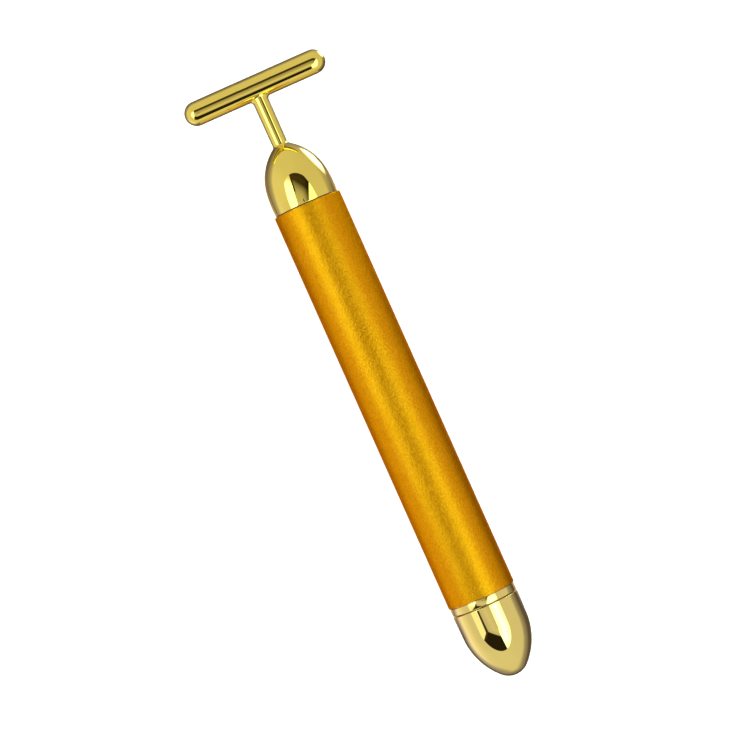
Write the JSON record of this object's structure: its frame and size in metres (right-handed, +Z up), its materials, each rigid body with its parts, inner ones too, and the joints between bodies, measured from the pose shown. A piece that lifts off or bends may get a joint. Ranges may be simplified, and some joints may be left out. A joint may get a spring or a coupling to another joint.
{
  "type": "vibrating facial massager",
  "caption": "Slim vibrating facial massager with a fixed T-bar head on a domed stem, an anodised tube handle and a bullet-shaped screw cap that switches it and opens the battery bay.",
  "frame": {"origin": "on the resting surface, under the middle of the object's length and width", "axes": "+X along the handle towards the T-bar, +Y along the T-bar, +Z up from the resting surface"},
  "size_m": [0.157, 0.0364, 0.017],
  "materials": {
    "amber_anodised": "sand-blasted, satin anodised",
    "plated_gold": "mirror-polished plating",
    "seal_rubber": "matte",
    "motor_rubber": "matte",
    "dark_nylon": "fine matte",
    "white_plastic": "satin",
    "contact_brass": "rolled, bright",
    "spring_steel": "nickel-plated wire",
    "cell_steel": "nickel-plated sheet",
    "cell_filling": "matte powder",
    "cell_jacket": "glossy film",
    "cell_seal": "matte",
    "red_insulation": "soft satin",
    "black_insulation": "soft satin",
    "motor_steel": "zinc-plated, bright",
    "magnet_ferrite": "ground, matte",
    "bearing_bronze": "sintered, oily",
    "shaft_steel": "ground",
    "core_laminations": "stacked sheets, varnished",
    "winding_copper": "enamelled wire",
    "commutator_resin": "moulded",
    "commutator_copper": "turned",
    "washer_nylon": "smooth",
    "weight_alloy": "sintered"
  },
  "bodies": {
    "handle": {"handle_tube": "amber_anodised", "massage_head": "plated_gold", "head_seal": "seal_rubber", "tail_collar": "plated_gold", "battery_can": "cell_steel", "battery_core": "cell_filling", "battery_jacket": "cell_jacket", "battery_positive_cap": "cell_steel", "battery_negative_plate": "cell_steel", "battery_seal_ring": "cell_seal", "battery_liner": "white_plastic", "battery_stop": "white_plastic", "positive_contact": "contact_brass", "return_strip": "contact_brass", "motor_carrier": "white_plastic", "motor_boot": "motor_rubber", "red_lead": "red_insulation", "black_lead": "black_insulation", "motor_can": "motor_steel", "motor_magnets": "magnet_ferrite", "motor_end_bell": "white_plastic", "motor_terminals": "contact_brass", "motor_brushes": "contact_brass", "front_bearing": "bearing_bronze", "rear_bearing": "bearing_bronze"},
    "spring_seat": {"battery_spring": "spring_steel"},
    "tail_cap_screw": {"tail_cap": "plated_gold", "screw_insert": "dark_nylon", "cap_contact": "contact_brass", "cap_seal": "seal_rubber"},
    "rotor": {"motor_shaft": "shaft_steel", "armature_core": "core_laminations", "armature_windings": "winding_copper", "commutator_sleeve": "commutator_resin", "commutator_bars": "commutator_copper", "thrust_washers": "washer_nylon", "eccentric_weight": "weight_alloy"}
  },
  "joints": [
    {"name": "cap_travel", "type": "slide", "parent": "handle", "child": "spring_seat", "axis": [-1, 0, 0], "range_m": [-0.00025, 0.00525], "deforming": ["battery_spring"]},
    {"name": "cap_twist", "type": "hinge", "parent": "spring_seat", "child": "tail_cap_screw", "pos_m": [-0.06, 0, 0.0085], "axis": [-1, 0, 0], "range_deg": [-60, 1260]},
    {"name": "motor_spin", "type": "hinge", "parent": "handle", "child": "rotor", "pos_m": [0.04643, 0, 0.0085], "axis": [1, 0, 0], "continuous": true}
  ],
  "couplings": [
    {"joint": "cap_travel", "follows": "cap_twist", "m_per_rad": 0.00023873}
  ]
}
